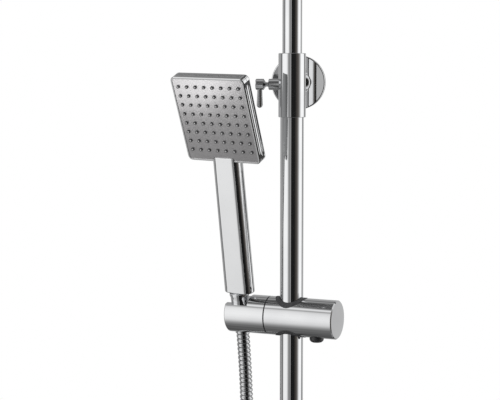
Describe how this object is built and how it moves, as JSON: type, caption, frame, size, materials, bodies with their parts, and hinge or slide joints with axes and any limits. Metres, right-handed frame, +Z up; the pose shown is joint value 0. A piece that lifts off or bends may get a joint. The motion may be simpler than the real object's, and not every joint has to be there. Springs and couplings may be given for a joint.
{
  "type": "rainfall shower column",
  "caption": "Wall-held rainfall shower column with telescopic riser, square overhead spray on a bent arm, sliding hand shower holder, square hand shower, ribbed hose and diverter.",
  "frame": {"origin": "centre of the wall rosette, on the wall plane", "axes": "+Z up along the riser, +Y into the wall, +X to the right as seen from the room"},
  "size_m": [0.2175, 0.488, 1.347],
  "materials": {
    "chrome": "polished chrome plate",
    "chromed_plastic": "chrome plated moulding",
    "hose_metal": "chrome plated interlocked strip",
    "polished_steel": "polished stainless sheet",
    "satin_steel": "satin stainless sheet",
    "satin_plate": "satin grey",
    "nozzle_rubber": "dark grey silicone",
    "gasket_rubber": "dark grey rubber",
    "black_button": "gloss black",
    "seal_rubber": "black rubber",
    "nylon": "natural nylon",
    "brass": "machined",
    "steel": "plain steel"
  },
  "bodies": {
    "column": {"riser_tube": "chrome", "bracket_collar": "chrome", "collar_bush": "nylon", "lock_boss": "chrome", "stem_screw": "steel", "wall_rosette": "chrome", "bracket_base": "brass", "bracket_stem": "chrome", "stem_ring": "chrome", "stem_grub_screw": "steel", "diverter_body": "chrome", "riser_nut": "chrome", "riser_seal": "seal_rubber", "diverter_cartridge": "brass", "cartridge_nut": "chrome", "hose_outlet": "chrome", "hose_foot_nut": "chrome", "hose_foot_washer": "seal_rubber", "inlet_washer": "seal_rubber", "shower_hose": "hose_metal"},
    "telescope": {"seal_bush": "nylon", "seal_orings": "seal_rubber"},
    "arm": {"shower_arm": "chrome", "arm_nipple": "brass", "ball_nut": "chrome"},
    "ball_seat": {"ball_seat": "nylon"},
    "rain_head": {"rain_ball": "brass", "rain_shell": "polished_steel", "rain_plate": "satin_steel", "rain_seal": "seal_rubber", "rain_nozzles": "nozzle_rubber"},
    "lock_pad": {"lock_pad": "nylon"},
    "lock_handle": {"lock_screw": "chrome", "lock_lever": "chrome"},
    "slider_liner": {"slider_liner": "nylon"},
    "slider": {"slider_body": "chrome", "upper_gasket": "gasket_rubber", "lower_gasket": "gasket_rubber", "end_cap": "chrome", "pivot_screw": "steel", "pivot_washer": "steel", "friction_ring": "gasket_rubber", "brake_spring": "steel"},
    "button": {"release_button": "black_button", "button_pin": "steel"},
    "brake": {"brake_shoe": "nylon"},
    "holder": {"handset_holder": "chrome"},
    "hose_cone": {"hose_cone_nut": "chrome", "hose_top_washer": "seal_rubber"},
    "handset": {"handset_shell": "chromed_plastic", "spray_plate": "satin_plate", "spray_nozzles": "nozzle_rubber", "handset_spigot": "chrome"},
    "diverter_handle": {"diverter_spindle": "brass", "diverter_knob": "chrome", "knob_lever": "chrome"},
    "inlet_nut": {"inlet_union_nut": "chrome"}
  },
  "joints": [
    {"name": "telescope_slide", "type": "slide", "parent": "column", "child": "telescope", "axis": [0, 0, 1], "range_m": [-0.2, 0.1]},
    {"name": "arm_swivel", "type": "hinge", "parent": "telescope", "child": "arm", "pos_m": [0, -0.058, 0], "axis": [0, 0, 1], "range_deg": [-60, 60]},
    {"name": "rain_tilt_x", "type": "hinge", "parent": "arm", "child": "ball_seat", "pos_m": [0, -0.388, 0.2375], "axis": [1, 0, 0], "range_deg": [-10, 10]},
    {"name": "rain_tilt_y", "type": "hinge", "parent": "ball_seat", "child": "rain_head", "pos_m": [0, -0.388, 0.2375], "axis": [0, 1, 0], "range_deg": [-10, 10]},
    {"name": "lock_feed", "type": "slide", "parent": "column", "child": "lock_pad", "axis": [-1, 0, 0], "range_m": [0, 0.00025]},
    {"name": "lock_turn", "type": "hinge", "parent": "lock_pad", "child": "lock_handle", "pos_m": [0, -0.058, -0.0016], "axis": [1, 0, 0], "range_deg": [-90, 0]},
    {"name": "slider_slide", "type": "slide", "parent": "column", "child": "slider_liner", "axis": [0, 0, 1], "range_m": [-0.28, 0.16], "deforming": ["shower_hose"]},
    {"name": "slider_swivel", "type": "hinge", "parent": "slider_liner", "child": "slider", "pos_m": [0, -0.058, -0.241], "axis": [0, 0, 1], "range_deg": [-15, 45], "deforming": ["shower_hose"]},
    {"name": "holder_tilt", "type": "hinge", "parent": "slider", "child": "holder", "pos_m": [0, -0.058, -0.241], "axis": [0.9659, -0.2588, 0], "range_deg": [-5, 20], "deforming": ["shower_hose"]},
    {"name": "handset_lift", "type": "slide", "parent": "holder", "child": "hose_cone", "axis": [-0.0538, -0.2008, 0.9781], "range_m": [0, 0.05], "deforming": ["shower_hose"]},
    {"name": "handset_turn", "type": "hinge", "parent": "hose_cone", "child": "handset", "pos_m": [-0.05506, -0.04325, -0.241], "axis": [-0.0538, -0.2008, 0.9781], "range_deg": [-30, 30]},
    {"name": "button_press", "type": "slide", "parent": "slider", "child": "button", "axis": [0, 0, 1], "range_m": [0, 0.003], "stiffness_N_per_m": 1500, "springref_m": -0.002},
    {"name": "brake_release", "type": "slide", "parent": "slider", "child": "brake", "axis": [0.9659, -0.2588, 0], "range_m": [0, 0.00105], "deforming": ["brake_spring"]},
    {"name": "diverter_turn", "type": "hinge", "parent": "column", "child": "diverter_handle", "pos_m": [0, -0.058, -0.622], "axis": [0, -1, 0], "range_deg": [-90, 90]},
    {"name": "union_turn", "type": "hinge", "parent": "column", "child": "inlet_nut", "pos_m": [0, -0.058, -0.68165], "axis": [0, 0, 1], "continuous": true}
  ],
  "couplings": [
    {"joint": "lock_turn", "follows": "lock_feed", "rad_per_m": -6283.2},
    {"joint": "brake_release", "follows": "button_press", "ratio": 0.33333}
  ]
}
